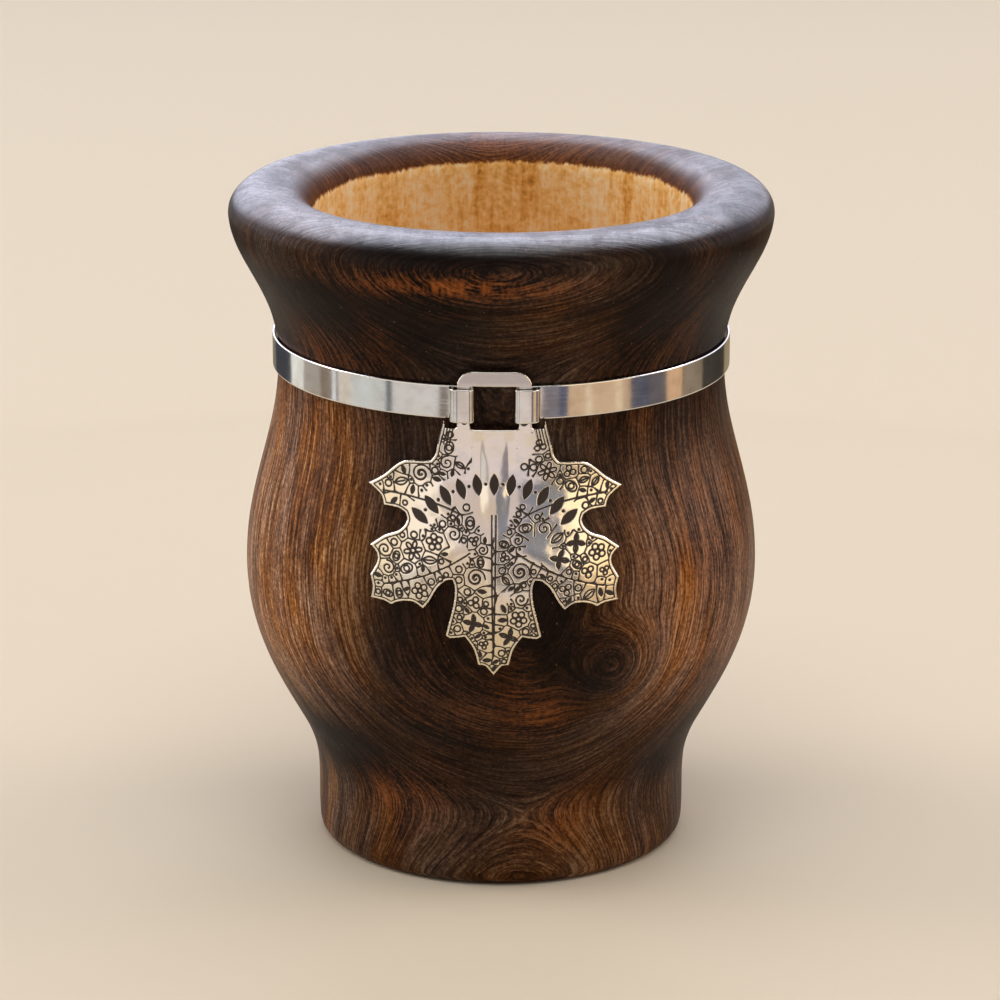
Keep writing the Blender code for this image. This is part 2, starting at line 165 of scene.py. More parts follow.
# The border line runs round the lobes and the tip
BORDER_INSET_MM = 0.42
LOBES_ASIDE_MM, LOBES_DOWN_MM, TIP_DOWN_MM = 4.2, 1.0, 22
HATCH_REACH_MM, HATCH_STEP_MM = (5.9, 7.6), 0.42
HATCH_TOP_MM, HATCH_END_MM, HATCH_SLANT_MM = -0.9, 2.4, 0.75


def linear(hex_colour):
    """An sRGB hex colour as the linear colour that shaders take."""
    shares = [int(hex_colour[place:place + 2], 16) / 255 for place in (1, 3, 5)]
    return (*(s / 12.92 if s <= 0.04045 else ((s + 0.055) / 1.055) ** 2.4 for s in shares), 1.0)


def fill_inputs(node, inputs):
    """Give a node its inputs, by name or in order, as values, sockets or nodes' first outputs."""
    for place, value in (inputs if isinstance(inputs, dict) else dict(enumerate(inputs))).items():
        if isinstance(value, bpy.types.Node):
            value = value.outputs[0]
        if isinstance(value, bpy.types.NodeSocket):
            node.id_data.links.new(value, node.inputs[place])
        else:
            node.inputs[place].default_value = value


def add_node(tree, kind, inputs=(), stops=(), **settings):
    """Add a node, a shader's by its short name, with its settings, inputs and a ramp's colour stops."""
    node = tree.nodes.new(kind if "Node" in kind else "ShaderNode" + kind)
    for name, value in settings.items():
        setattr(node, name, value)
    fill_inputs(node, inputs)
    if stops:
        marks = node.color_ramp.elements
        for mark, (place, colour) in ((marks[0], stops[0]), (marks[-1], stops[-1])):
            mark.position = place
            mark.color = linear(colour)
        for place, colour in stops[1:-1]:
            marks.new(place).color = linear(colour)
    return node


def new_material(name):
    """A material, what adds nodes to it, and its shader."""
    material = bpy.data.materials.new(name)
    material.use_nodes = True
    tree = material.node_tree
    return material, partial(add_node, tree), tree.nodes["Principled BSDF"]


def object_millimetres(add):
    place = add("TexCoord").outputs["Object"]
    return add("VectorMath", {0: place, "Scale": 1000.0}, operation="SCALE")


def stored_fields(add, *names):
    return [add("Attribute", attribute_name=name).outputs["Fac"] for name in names]


def new_shape_tree(name, inputs):
    """A tree that makes a shape, what adds nodes to it, and its inputs."""
    tree = bpy.data.node_groups.new(name, "GeometryNodeTree")
    for label, kind in inputs:
        tree.interface.new_socket(label, in_out="INPUT", socket_type="NodeSocket" + kind)
    tree.interface.new_socket("Shape", in_out="OUTPUT", socket_type="NodeSocketGeometry")
    add = partial(add_node, tree)
    return tree, add, add("NodeGroupInput").outputs


def end_shape_tree(add, shape, finish):
    real = add("GeometryNodeRealizeInstances", {"Geometry": shape})
    finished = add("GeometryNodeSetMaterial", {"Geometry": real, "Material": finish})
    add("NodeGroupOutput", (finished,))


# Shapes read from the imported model


def turned_profile(node):
    """A turned piece's outline as (radius, height), from its foot's middle to its cavity's middle."""
    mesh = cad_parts[node].data
    spots = {}
    for vertex in mesh.vertices:
        if abs(vertex.co.y) < SAME_PLACE and vertex.co.x > -SAME_PLACE:
            spots[vertex.index] = (round(vertex.co.x / SAME_PLACE), round(vertex.co.z / SAME_PLACE))
    beside = {spot: set() for spot in spots.values()}
    for edge in mesh.edges:
        start, end = (spots.get(index) for index in edge.vertices)
        if start and end and start != end:
            beside[start].add(end)
            beside[end].add(start)
    here = min((spot for spot in beside if len(beside[spot]) == 1), key=lambda spot: spot[1])
    walk = [here]
    while beside[here] - set(walk):
        here = (beside[here] - set(walk)).pop()
        walk.append(here)
    walk = [(0, walk[0][1])] + walk + [(0, walk[-1][1])]
    return [Vector(spot) * SAME_PLACE for spot in walk]


def front_loops(node):
    """The edges of a plate's front face as closed runs of (across, height), the longest first."""
    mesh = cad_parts[node].data
    spots = [tuple(round(share / SAME_PLACE) for share in vertex.co) for vertex in mesh.vertices]
    sides = set()
    for face in mesh.polygons:
        outward = Vector((face.center.x, face.center.y, 0)).normalized()
        if face.normal.dot(outward) > 0.5:
            corners = [spots[index] for index in face.vertices]
            sides.update(zip(corners, corners[1:] + corners[:1]))
    following = {start: end for start, end in sides if (end, start) not in sides}
    loops = []
    while following:
        here = min(following)
        loop = []
        while here in following:
            loop.append(Vector((here[0], here[2])) * SAME_PLACE)
            here = following.pop(here)
        loops.append(loop)
    return sorted(loops, key=len, reverse=True)


def turn_at(before, here, after):
    return (here - before).angle(after - here, 0.0)


def smooth_chain(points, step, closed=False):
    """Points about a step apart along a smooth line through others, with sharp corners kept."""
    count = len(points)
    corners = [index for index in range(count)
               if (closed or 0 < index < count - 1)
               and turn_at(points[index - 1], points[index], points[(index + 1) % count]) > CORNER_ANGLE]
    if closed:
        first = corners[0] if corners else 0
        points = points[first:] + points[:first + 1]
        corners = {index - first if index >= first else index - first + count for index in corners}
        corners |= {count} if corners else set()
    gaps = [(end - start).length for start, end in zip(points, points[1:])]
    slopes = [(end - start) / gap for start, end, gap in zip(points, points[1:], gaps)]
    heading = []
    for index in range(len(points)):
        wraps = closed and not corners and index in (0, len(points) - 1)
        if index in corners or (index in (0, len(points) - 1) and not wraps):
            heading.append(None)
        else:
            behind, ahead = (index - 1) % len(gaps), index % len(gaps)
            long, short = sorted((behind, ahead), key=lambda side: -gaps[side])
            if gaps[long] > STRAIGHT_SHARE * gaps[short]:
                heading.append(slopes[long])
            else:
                heading.append((slopes[behind] * gaps[ahead] + slopes[ahead] * gaps[behind])
                               / (gaps[behind] + gaps[ahead]))
    run = []
    for index, gap in enumerate(gaps):
        leaving, arriving = heading[index], heading[index + 1]
        leaving = leaving or 1.5 * slopes[index] - 0.5 * (arriving or slopes[index])
        arriving = arriving or 1.5 * slopes[index] - 0.5 * leaving
        pieces = max(1, round(gap / step))
        for piece in range(pieces):
            t = piece / pieces
            run.append((2 * t ** 3 - 3 * t ** 2 + 1) * points[index]
                       + (t ** 3 - 2 * t ** 2 + t) * gap * leaving
                       + (3 * t ** 2 - 2 * t ** 3) * points[index + 1]
                       + (t ** 3 - t ** 2) * gap * arriving)
    return run if closed else run + [points[-1]]


# Making pieces


def new_object(name, data):
    made = bpy.data.objects.new(name, data)
    bpy.context.collection.objects.link(made)
    return made


def solved(name, tree, start, inputs):
    """The plain mesh that a node tree makes of a starting shape, with its inputs given by name."""
    holder = new_object(name, start)
    modifier = holder.modifiers.new(name, "NODES")
    modifier.node_group = tree
    sockets = {item.name: item.identifier for item in tree.interface.items_tree
               if item.in_out == "INPUT"}
    for label, value in inputs.items():
        modifier[sockets[label]] = value
    depsgraph = bpy.context.evaluated_depsgraph_get()
    mesh = bpy.data.meshes.new_from_object(holder.evaluated_get(depsgraph), depsgraph=depsgraph)
    bpy.data.objects.remove(holder)
    return mesh


def place_piece(name, mesh, body, node, sharp):
    """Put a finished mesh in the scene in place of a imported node."""
    mesh.name = name
    mesh.shade_smooth()
    mesh.set_sharp_from_angle(angle=sharp)
    piece = new_object(name, mesh)
    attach(piece, body)
    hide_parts(node)
    return piece


def vertex_places(mesh):
    places = np.empty(len(mesh.vertices) * 3)
    mesh.vertices.foreach_get("co", places)
    return places.reshape(-1, 3)


def store_field(mesh, name, values):
    """Keep one number for each vertex, which a material reads by its name."""
    field = mesh.attributes.new(name, "FLOAT", "POINT")
    field.data.foreach_set("value", np.asarray(values, dtype=np.float32))


def ease(values, low, high):
    """Smooth step from 0 at low to 1 at high."""
    share = np.clip((values - low) / (high - low), 0, 1)
    return share * share * (3 - 2 * share)


def hill(values, centre, reach):
    return np.exp(-((values - centre) / reach) ** 2)


def slow_waves(places, length, seed):
    """A smooth random field of places, about -1 to 1, whose waves have about this length."""
    draw = random.Random(seed)
    total = np.zeros(len(places))
    for _ in range(7):
        heading = Vector([draw.gauss(0, 1) for _ in range(3)]).normalized()
        total += np.sin(places @ np.array(heading) * math.tau / (length * draw.uniform(0.7, 1.5))
                        + draw.uniform(0, math.tau))
    return total / 2.8


# Turned wooden cup


def lathe_tree():
    """Turns a line of points in the XZ plane round the Z axis."""
    tree, add, given = new_shape_tree("turned on the lathe", (
        ("Profile", "Geometry"), ("Segments", "Int"), ("Finish", "Material")))
    count = add("GeometryNodeAttributeDomainSize", (given["Profile"],), component="MESH")
    seam = add("Math", (given["Segments"], 1.0), operation="ADD")
    grid = add("GeometryNodeMeshGrid", {"Vertices X": count.outputs["Point Count"], "Vertices Y": seam})
    index = add("GeometryNodeInputIndex")
    share = add("Math", (index, seam), operation="DIVIDE")
    row = add("Math", (share,), operation="FLOOR")
    column = add("Math", (index, seam), operation="MODULO")
    turn = add("Math", (column, given["Segments"]), operation="DIVIDE")
    angle = add("Math", (turn, math.tau), operation="MULTIPLY")
    drawn = add("GeometryNodeSampleIndex", {"Geometry": given["Profile"], "Index": row,
                                            "Value": add("GeometryNodeInputPosition")},
                data_type="FLOAT_VECTOR")
    spun = add("VectorRotate", {"Vector": drawn, "Angle": angle}, rotation_type="Z_AXIS")
    moved = add("GeometryNodeSetPosition", {"Geometry": grid, "Position": spun})
    closed = add("GeometryNodeMergeByDistance", {"Geometry": moved, "Distance": SAME_PLACE})
    end_shape_tree(add, closed, given["Finish"])
    return tree


def cut_across(mesh, places):
    """How squarely the surface cuts the growth rings, from 0 along them to 1 straight through."""
    normals = np.empty(len(mesh.vertices) * 3)
    mesh.vertex_normals.foreach_get("vector", normals)
    outward = (places - (PITH_ASIDE_MM, PITH_BEHIND_MM, 0)) * (1, 1, 0)
    outward /= np.linalg.norm(outward, axis=1)[:, None]
    along = (outward * normals.reshape(-1, 3)).sum(axis=1)
    return np.sqrt(np.clip(1 - along ** 2, 0, 1))


def soft_patches(z, side, patches):
    return sum(strength * hill(z, height, tall) * hill(side, turn, wide)
               for strength, height, tall, turn, wide in patches)


def build_turned_cup(profile):
    widest, highest = max(spot.x for spot in profile), max(spot.y for spot in profile)
    rows = [Vector((min(row.x, widest), min(row.y, highest))) for row in smooth_chain(profile, PROFILE_STEP)]
    line = bpy.data.meshes.new("profile")
    line.from_pydata([(row.x, 0.0, row.y) for row in rows],
                     [(index, index + 1) for index in range(len(rows) - 1)], [])
    mesh = solved("turned_cup", lathe_tree(), line,
                  {"Segments": TURNED_SEGMENTS, "Finish": stained_turned_hardwood()})
    places = vertex_places(mesh) * 1000
    x, y, z = places.T
    radius = np.hypot(x, y)
    side = np.degrees(np.arctan2(x, -y))
    turned_away = np.abs(side)
    inside = ((radius < LIP_REACH_MM) & (z > LIP_FOOT_MM)) | ((radius < WALL_REACH_MM) & (z > FLOOR_FOOT_MM))
    store_field(mesh, "squareness", cut_across(mesh, places))

    # Wood is lighter on the belly's sides, partly from sanding and partly as painted side light, less so on
    # the right, and lighter on the foot. Painted shade makes the flare's sides darkest, and the wood round
    # the swirl is darkest too
    right = ease(side, -10, 10) * ease(-side, -178, -120)
    sanded_and_lit_flank = (1.0 - 0.44 * right) * ease(turned_away + 8 * right, 20, 52) * ease(z, 20, 38)
    sanded_and_lit_flank *= ease(-z - 10 * right, -86, -68)
    tone = 0.04 + sanded_and_lit_flank + 0.22 * ease(-z, -18, -10) - 0.36 * hill(z, 88, 7) * ease(turned_away, 20, 45)
    tone += soft_patches(z, side, TONE_PATCHES) + 0.10 * slow_waves(places, 34, seed=5)
    store_field(mesh, "tone", tone)

    # Stain soaked unevenly into the rings, which shows them orange outside. On the bare wall the field makes
    # the wood darker at the back and lighter at the back left, and darker further down as painted shade
    glow = soft_patches(z, side, THIN_STAIN_PATCHES) + 0.12 * ease(slow_waves(places, 21, seed=12), 0.35, 1.0)
    bare_wall_tint_and_depth_shade = 0.7 * hill(turned_away, 180, 26) - 0.5 * hill(side, -130, 25) + 0.4 * ease(-z, -84, -40)
    store_field(mesh, "glow", np.where(inside, bare_wall_tint_and_depth_shade, glow))

    # Lacquer has a faint shine outside, and handling has polished it on the lip, least at the back
    inner = POLISH_INNER_MM + POLISH_BACK_STEP_MM * ease(turned_away, 110, 160)
    slope = ease(z, 99.4, 101.6) * ease(radius - inner, 0, 3.5) * (1 - 0.3 * ease(turned_away, 115, 160))
    polish = np.where(radius > LIP_REACH_MM, ease(z, 101.7, 103.3), slope)
    store_field(mesh, "polish", np.maximum(polish, np.where(inside, 0, FAINT_SHINE)))

    # The throat is stained deeper on the left than at the back
    edge = STAIN_EDGE_MM + (0.8 * y + 0.4 * x) / radius.clip(1) + 0.22 * slow_waves(places, 13, seed=21)
    store_field(mesh, "bare_mm", np.where(inside, np.clip(edge - z, -8, 8), -8))
    return place_piece("turned_cup", mesh, "cup", "wooden_body", TURNED_SHARP)


def stained_turned_hardwood():
    """Hardwood turned on a lathe, stained dark and wiped with satin lacquer, and left bare inside.

    The eye gets growth lines as fine darker and paler strokes broken by flecks and specks, dusty
    pores, orange where the stain soaked in thinly, matt sides under a lip that hands have polished,
    and a stain edge that bleeds orange into pale wood with brown streaks. The belly's sides are paler
    partly with painted side light, and painted shade darkens the flare's sides and the cavity's depth.
    """
    material, add, shader = new_material("stained turned hardwood")
    place = object_millimetres(add)
    squareness, tone, glow, bare, polish = stored_fields(
        add, "squareness", "tone", "glow", "bare_mm", "polish")

    # Each pattern: its squeeze across, in depth and upright, its scale in waves per mm, its detail
    # and its roughness
    noise = {}
    for name, squeeze, scale, detail, roughness in (
            ("waves", (1, 1, 1), 0.022, 3.0, 0.30), ("specks", (1, 1, 1), 1.9, 2.0, 0.6),
            ("spots", (1, 1, 1), 0.9, 3.0, 0.6), ("rays", (1.7, 0.6, 0.26), 1.0, 0.0, 0.5),
            ("hairs", (2.2, 2.2, 0.22), 1.0, 3.0, 0.6), ("fringe", (2.2, 2.2, 0.22), 0.6, 4.0, 0.65),
            ("streaks", (0.30, 0.30, 0.06), 1.0, 2.0, 0.5), ("worn", (0.30, 0.16, 0.30), 1.0, 5.0, 0.7)):
        squeezed = add("Mapping", {"Vector": place, "Scale": squeeze})
        noise[name] = add("TexNoise", {"Vector": squeezed, "Scale": scale, "Detail": detail,
                                       "Roughness": roughness})

    # Rings lie round the pith, with slow waves in them and one knot's swirl
    axes = add("SeparateXYZ", (place,)).outputs
    from_pith = add("VectorMath", (place, (PITH_ASIDE_MM, PITH_BEHIND_MM, 0)), operation="SUBTRACT")
    level = add("VectorMath", (from_pith, (1, 1, 0)), operation="MULTIPLY")
    ring = add("VectorMath", (level,), operation="LENGTH").outputs["Value"]
    ring = add("Math", (noise["waves"], RING_WAVE_MM, ring), operation="MULTIPLY_ADD")
    swirl = add("VectorMath", (place, SWIRL_PLACE_MM), operation="DISTANCE").outputs["Value"]
    for source, start, end, rise in ((axes["Z"], COVE_HEIGHT_MM, UNDER_FOOT_MM, FOOT_BEND_MM),
                                     (axes["Z"], BEND_START_MM, BEND_END_MM, UPPER_BEND_MM),
                                     (swirl, SWIRL_REACH_MM, 0.0, SWIRL_RISE_MM)):
        shift = add("MapRange", (source, start, end, 0.0, rise), interpolation_type="SMOOTHSTEP")
        ring = add("Math", (ring, shift), operation="ADD")

    # Growth lines 0.2 mm apart where the rings are cut straight through get finer ones mixed in where
    # the surface runs along them, so that they show as close everywhere. Opened fibres are short pale
    # flecks on the same lines, and wider bands differ in tone. Each: its waves per mm over the rings,
    # across and upright, its detail, its roughness, and what shows as none and as all of it.
    fineness = add("MapRange", (squareness, 0.12, 0.70, 1.15, 0.55))
    shown = {}
    for name, rates, detail, roughness, none, full in (
            ("lines", (5.4, 0.06, 0.06), 4.5, fineness, 0.34, 0.66),
            ("fibres", (8.0, 0.50, 0.42), 3.0, 0.7, 0.34, 0.70),
            ("bands", (0.34, 0.05, 0.05), 2.5, 0.5, 0.25, 0.75)):
        spread = add("CombineXYZ", [add("Math", pair, operation="MULTIPLY")
                                    for pair in zip((ring, axes["X"], axes["Z"]), rates)])
        noise[name] = add("TexNoise", {"Vector": spread, "Scale": 1.0, "Detail": detail,
                                       "Roughness": roughness})
        shown[name] = add("MapRange", (noise[name], none, full))
    flecked = add("MapRange", (squareness, 0.20, 0.70, 0.16, 0.48))
    specks = add("MapRange", (noise["specks"], 0.32, 0.68))
    grain = shown["lines"]
    for share, other in ((flecked, shown["fibres"]), (0.26, shown["bands"]), (0.16, specks)):
        grain = add("Mix", {"Factor": share, 2: grain, 3: other})

    # Dark wood and the paler sides, whose colours carry painted side light as well as sanding, take their
    # colours from the grain, and thin stain its brown
    deep, sanded_and_side_lit, thin_brown = (add("ValToRGB", (grain,), stops) for stops in (
        ((0.20, "#100a07"), (0.45, "#190f0a"), (0.64, "#22150d"), (0.86, "#3a2315")),
        ((0.26, "#36200f"), (0.42, "#6c442d"), (0.58, "#a06d46"), (0.72, "#deaf86")),
        ((0.2, "#3a2114"), (0.5, "#6b4128"), (0.85, "#93623d"))))
    colour = add("Mix", {"Factor": tone, 6: deep, 7: sanded_and_side_lit}, data_type="RGBA").outputs[2]
    faded = add("MapRange", (noise["bands"].outputs["Color"], 0.40, 0.60, 0.80, 1.14))
    # Low tone makes the wood darker still: painted shade on the flare's sides, and the dark wood round the
    # swirl
    shade_and_dark_patches = add("MapRange", (tone, -0.3, 0.05, 0.45, 1.0))
    colour = add("HueSaturation", {"Color": colour, "Saturation": faded, "Value": shade_and_dark_patches})
    paler = add("MapRange", (grain, 0.40, 0.72))
    orange = add("Math", (paler, glow), operation="MULTIPLY", use_clamp=True)

    # Rays cut endwise show as short upright dashes where the stain is thinnest
    dashes = add("MapRange", (noise["rays"], 0.38, 0.76))
    thinnest = add("MapRange", (glow, 0.55, 1.20, 0.0, 0.60))
    dashes = add("Math", (dashes, thinnest), operation="MULTIPLY")

    # Pores that filled with dust and polish are sparse pale specks
    pore_place = add("Mapping", {"Vector": place, "Scale": (1.5, 1.5, 0.8)})
    pores = add("TexVoronoi", {"Vector": pore_place, "Scale": 1.0})
    rare = add("SeparateColor", (pores.outputs["Color"],))
    reach = add("MapRange", (rare, 0.72, 1.0, 0.0, 0.16))
    pore = add("Math", (pores.outputs["Distance"], reach), operation="LESS_THAN")
    dusty = add("Math", (pore, 0.40), operation="MULTIPLY")

    # Bare wood of the cavity has brown streaks, spots and hair lines down the wall
    bare_grain = noise["streaks"]
    for share, other in ((0.45, noise["spots"]), (0.18, noise["hairs"])):
        bare_grain = add("Mix", {"Factor": share, 2: bare_grain, 3: other})
    # A higher wall field makes the bare wood darker, which deeper down in the cavity is painted shade
    soaked = add("Math", (glow, -0.06, bare_grain), operation="MULTIPLY_ADD")
    pale = add("ValToRGB", (soaked,),
               ((0.31, "#ad6f32"), (0.40, "#e4a956"), (0.50, "#f9ce88"), (0.61, "#feebc4")))

    # Stain soaked in thinly just above its lower edge, and bled orange along it
    past = add("Math", (noise["fringe"], 1.6, bare), operation="MULTIPLY_ADD")
    thin, bled, cleared = (add("MapRange", (past, *limits)) for limits in (
        (-3.2, -0.2, 0.0, 0.62), (0.55, 0.80), (0.75, 1.15)))
    for share, over in ((orange, linear("#a9602b")), (dashes, linear("#b8662c")), (dusty, linear("#8f7460")),
                        (thin, thin_brown), (bled, linear("#8f5222")), (cleared, pale)):
        colour = add("Mix", {"Factor": share, 6: colour, 7: over}, data_type="RGBA").outputs[2]

    # Polish is worn off in places, and the pale grain keeps more of it
    for source, limits in ((noise["worn"], (0.38, 0.56, 0.70)), (grain, (0.32, 0.56, 0.62))):
        kept = add("MapRange", (source, *limits))
        polish = add("Math", (polish, kept), operation="MULTIPLY")
    satin = add("MapRange", (noise["fibres"], 0.3, 0.7, 0.36, 0.50))
    rough = add("Mix", {"Factor": cleared, 2: satin, 3: 0.75})
    pitted = add("Math", (pore, -0.8, grain), operation="MULTIPLY_ADD")
    relief = add("Bump", {"Strength": 0.6, "Distance": 0.00005, "Height": pitted})
    fill_inputs(shader, {"Base Color": colour, "Roughness": rough, "Normal": relief,
                         "Specular IOR Level": 0.02, "Coat Weight": polish, "Coat Normal": relief,
                         "Coat Roughness": 0.24})
    return material


# Strip round the waist


def strip_tree():
    """Sweeps the strip's rounded section along a path that lies flat."""
    tree, add, given = new_shape_tree("strip bent on edge", (
        ("Path", "Geometry"), ("Thickness", "Float"), ("Width", "Float"), ("Edge round", "Float"),
        ("Section step", "Float"), ("Finish", "Material")))
    upright = add("GeometryNodeSetCurveNormal", {"Curve": given["Path"]}, mode="Z_UP")
    section = add("GeometryNodeCurvePrimitiveQuadrilateral",
                  {"Width": given["Thickness"], "Height": given["Width"]})
    rounded = add("GeometryNodeFilletCurve", {"Curve": section, "Radius": given["Edge round"]}, mode="POLY")
    fill_inputs(rounded, {"Count": 4})
    even = add("GeometryNodeResampleCurve", {"Curve": rounded, "Length": given["Section step"]},
               mode="LENGTH")
    swept = add("GeometryNodeCurveToMesh", {"Curve": upright, "Profile Curve": even, "Fill Caps": True})
    end_shape_tree(add, swept, given["Finish"])
    return tree


def strip_path(back_radius, front_radius, leg_front):
    """The strip's middle line in plan: an eye, round the back, and the other eye."""
    half = STRIP_THICKNESS / 2
    middle = (back_radius + front_radius) / 2
    reach = (front_radius - back_radius) / 2
    turn_centre = EYE_INNER_OFFSET + half + EYE_TURN_REACH
    outer_end = EYE_INNER_OFFSET + EYE_SPAN - half
    closing_depth = front_radius - (back_radius + STRIP_THICKNESS + RUNNING_GAP)
    closing_start = turn_centre + (outer_end - turn_centre) * EYE_CLOSING_START
    eye = []
    for angle in np.linspace(0, math.pi / 2, 14):
        reached = max(0.0, math.cos(angle)) ** EYE_CLOSING_ROUNDNESS
        eye.append((closing_start + (outer_end - closing_start) * reached,
                    front_radius - closing_depth * (1 - math.sin(angle))))
    for angle in np.linspace(math.pi / 2, 3 * math.pi / 2, 22):
        eye.append((turn_centre + EYE_TURN_REACH * math.cos(angle), middle + reach * math.sin(angle)))
    eye = [(math.asin(across / leg_front), radius) for across, radius in eye]
    start = eye[-1][0]
    arc = [(angle, back_radius) for angle in np.arange(start + ARC_STEP, math.tau - start, ARC_STEP)]
    other = [(math.tau - angle, radius) for angle, radius in reversed(eye)]
    return [(radius * math.sin(angle), -radius * math.cos(angle)) for angle, radius in eye + arc + other]


def build_waist_strip(leg_front):
    low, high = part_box("neck_band")
    half = STRIP_THICKNESS / 2
    path = strip_path(high[1] - half, -low[1] - half, leg_front)
    curve = bpy.data.curves.new("strip path", "CURVE")
    curve.dimensions = "3D"
    line = curve.splines.new("POLY")
    line.points.add(len(path) - 1)
    for point, (x, y) in zip(line.points, path):
        point.co = (x, y, (low[2] + high[2]) / 2, 1)
    mesh = solved("waist_strip", strip_tree(), curve,
                  {"Thickness": STRIP_THICKNESS, "Width": high[2] - low[2],
                   "Edge round": STRIP_EDGE_ROUND, "Section step": STRIP_SECTION_STEP,
                   "Finish": rolled_polished_strip()})
    return place_piece("waist_strip", mesh, "cup", "neck_band", STRIP_SHARP)


def rolled_polished_strip():
    """Nickel silver strip, rolled flat and buffed bright.

    The eye gets mirror reflections that wobble a little over the strip's length, and faint
    lengthwise buffing lines.
    """
    material, add, shader = new_material("rolled and buffed nickel silver strip")
    place = object_millimetres(add)
    buffing_place = add("Mapping", {"Vector": place, "Scale": (0.25, 0.25, 9.0)})
    buffing = add("TexNoise", {"Vector": buffing_place, "Scale": 1.0, "Detail": 2.0})
    wobble = add("TexNoise", {"Vector": place, "Scale": 0.11, "Detail": 1.0})
    patina = add("TexNoise", {"Vector": place, "Scale": 0.3, "Detail": 4.0})
    colour = add("ValToRGB", (patina,), ((0.30, "#cfcac2"), (0.52, "#dedbd5"), (0.70, "#e3e2e0")))
    rough = add("MapRange", (buffing, 0.3, 0.7, 0.07, 0.15))
    waves = add("Bump", {"Strength": 0.5, "Distance": 0.00012, "Height": wobble})
    lines = add("Bump", {"Strength": 0.15, "Distance": 0.000004, "Height": buffing, "Normal": waves})
    fill_inputs(shader, {"Base Color": colour, "Metallic": 1.0, "Roughness": rough, "Normal": lines})
    return material


# Leaf badge


def plate_relief(across, down):
    """Pressed midrib, flutes into the lobes and two channels under the frame's legs, in metres."""
    share = down / LEAF_LENGTH
    fade = ease(share, *LEAF_RISES) * ease(-share, *LEAF_FALLS)
    rise = RIB_HEIGHT * hill(across, 0, RIB_HALF_WIDTH)
    for tip_across, tip_down in FLUTE_TIPS:
        along = Vector((tip_across * LEAF_HALF_WIDTH, (tip_down - FLUTE_ROOT_DOWN) * LEAF_LENGTH))
        length = along.length
        along.normalize()
        out, below = np.abs(across), down - FLUTE_ROOT_DOWN * LEAF_LENGTH
        run = (out * along.x + below * along.y) / length
        flute = FLUTE_HEIGHT * hill(out * along.y - below * along.x, 0, FLUTE_HALF_WIDTH)
        rise = rise + flute * ease(run, *FLUTE_RISES) * ease(-run, *FLUTE_FALLS)
    channel = hill(np.abs(across), CHANNEL_OFFSET, CHANNEL_HALF_WIDTH)
    channel *= ease(down, 0, 0.002) * ease(-down, -CHANNEL_LENGTH, -0.4 * CHANNEL_LENGTH)
    return rise * fade - CHANNEL_DEPTH * channel


def sheet_points(loops, spacing):
    """Evenly spread points inside an outline and outside its window, row by row."""
    edges = np.array([(*start, *end) for loop in loops
                      for start, end in zip(loop, loop[1:] + loop[:1])])
    rise = spacing * math.sqrt(3) / 2
    points = []
    for row, height in enumerate(np.arange(edges[:, 1].min() + rise / 2, edges[:, 1].max(), rise)):
        crossed = edges[(edges[:, 1] > height) != (edges[:, 3] > height)]
        share = (height - crossed[:, 1]) / (crossed[:, 3] - crossed[:, 1])
        marks = sorted(crossed[:, 0] + share * (crossed[:, 2] - crossed[:, 0]))
        for left, right in zip(marks[::2], marks[1::2]):
            first = math.ceil(left / spacing - row % 2 / 2)
            last = math.floor(right / spacing - row % 2 / 2)
            points += [((column + row % 2 / 2) * spacing, height) for column in range(first, last + 1)]
    return points


def distance_tree(points):
    tree = kdtree.KDTree(len(points))
    for index, point in enumerate(points):
        tree.insert((point[0], point[1], 0), index)
    tree.balance()
    return tree


def sheet_triangles(loops, spacing, edge_tree):
    """Flat points and triangles of a sheet, the loops' own points first and in their order."""
    edge_points = [tuple(point) for loop in loops for point in loop]
    inner = [point for point in sheet_points(loops, spacing)
             if edge_tree.find((*point, 0))[2] > 0.5 * spacing]
    rims = []
    start = 0
    for loop in loops:
        rims += [(start + index, start + (index + 1) % len(loop)) for index in range(len(loop))]
        start += len(loop)
    spots, _, triangles, origins, *_ = delaunay_2d_cdt([Vector(p) for p in edge_points + inner],
                                                       rims, [], 1, 1e-10)
    window = loops[1]
    left, right = min(p.x for p in window), max(p.x for p in window)
    low, high = min(p.y for p in window), max(p.y for p in window)
    places = np.array([tuple(spot) for spot in spots])
    triangles = np.array(triangles)
    middles = places[triangles].mean(axis=1)
    in_window = ((middles[:, 0] > left) & (middles[:, 0] < right)
                 & (middles[:, 1] > low) & (middles[:, 1] < high))
    on_edge = np.array([min(names) < len(edge_points) for names in origins])
    corner_cut = in_window & on_edge[triangles].all(axis=1)
    keep = ~(in_window & (corner_cut | ~on_edge[triangles].any(axis=1)))
    order = {min(names): index for index, names in enumerate(origins)}
    return places, triangles[keep], [order[index] for index in range(len(edge_points))]


def legs_front_radius():
    """How far from the axis the front of the badge's frame stands, taken from its bar."""
    places = vertex_places(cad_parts["leaf_badge"].data)
    on_bar = places[:, 2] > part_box("neck_band")[1][2] + RUNNING_GAP
    return np.hypot(*places[on_bar, :2].T).max()


